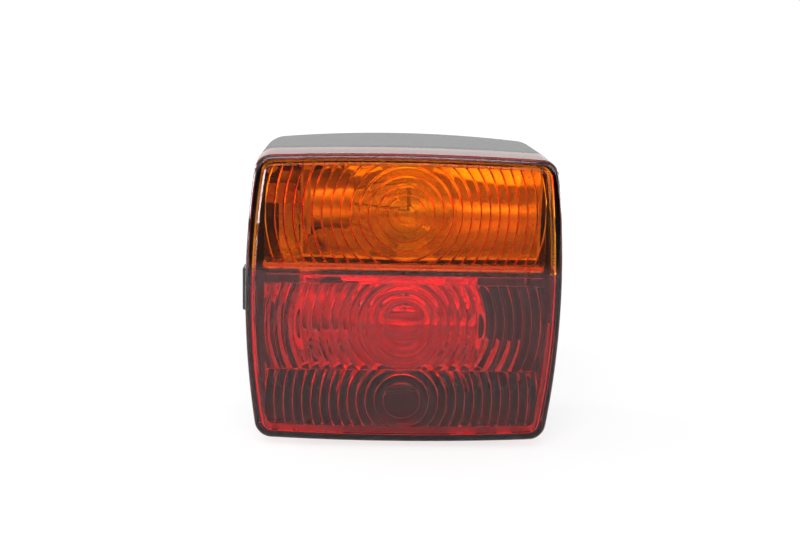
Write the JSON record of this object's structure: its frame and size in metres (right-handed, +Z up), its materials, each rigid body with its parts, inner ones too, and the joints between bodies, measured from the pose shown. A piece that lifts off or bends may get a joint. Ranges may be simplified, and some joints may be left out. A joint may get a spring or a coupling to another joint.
{
  "type": "rear lamp",
  "caption": "Square rear lamp with a two-colour ringed lens on a black bowed housing, bulbs and contacts inside, and bolts at the back.",
  "frame": {"origin": "middle of the rear mounting face, midway between the two mounting bolts", "axes": "+Z up, +X to the right of someone who looks at the lens, +Y out of the rear face towards the vehicle; the lens faces -Y"},
  "size_m": [0.108, 0.072, 0.101],
  "materials": {
    "housing_plastic": "fine moulded texture",
    "carrier_plastic": "moulded",
    "gasket_rubber": "soft",
    "grommet_rubber": "soft",
    "amber_acrylic": "polished clear moulding",
    "red_acrylic": "polished clear moulding",
    "reflector_metal": "bright rolled",
    "zinc_steel": "zinc plated",
    "rivet_aluminium": "plain",
    "tinned_strip": "tin plated",
    "spring_brass": "plain",
    "nickel_caps": "nickel plated",
    "phenolic": "moulded",
    "cap_insulator": "dark fused",
    "solder": "dull",
    "bulb_glass": "clear blown",
    "filament_wire": "drawn"
  },
  "bodies": {
    "root": {"housing": "housing_plastic", "lens_gasket": "gasket_rubber", "lens_amber": "amber_acrylic", "lens_red": "red_acrylic", "bulb_carrier": "carrier_plastic", "carrier_screws": "zinc_steel", "indicator_reflector": "reflector_metal", "stop_reflector": "reflector_metal", "reflector_rivets": "rivet_aluminium", "earth_strip": "tinned_strip", "supply_strip": "tinned_strip", "strip_rivets": "rivet_aluminium", "indicator_socket": "tinned_strip", "indicator_contact_bush": "phenolic", "indicator_contact_pin": "spring_brass", "indicator_contact_leaf": "spring_brass", "indicator_bulb_glass": "bulb_glass", "indicator_bulb_cap": "nickel_caps", "indicator_bulb_insulator": "cap_insulator", "indicator_bulb_contact": "solder", "indicator_bulb_filament": "filament_wire", "stop_socket": "tinned_strip", "stop_contact_bush": "phenolic", "stop_contact_pin": "spring_brass", "stop_contact_leaf": "spring_brass", "stop_bulb_glass": "bulb_glass", "stop_bulb_cap": "nickel_caps", "stop_bulb_insulator": "cap_insulator", "stop_bulb_contact": "solder", "stop_bulb_filament": "filament_wire", "tail_festoon_glass": "bulb_glass", "tail_festoon_caps": "nickel_caps", "tail_festoon_filament": "filament_wire", "festoon_clips": "spring_brass", "terminal_screws": "spring_brass", "cable_grommet": "grommet_rubber", "mounting_bolts": "zinc_steel"}
  },
  "joints": []
}
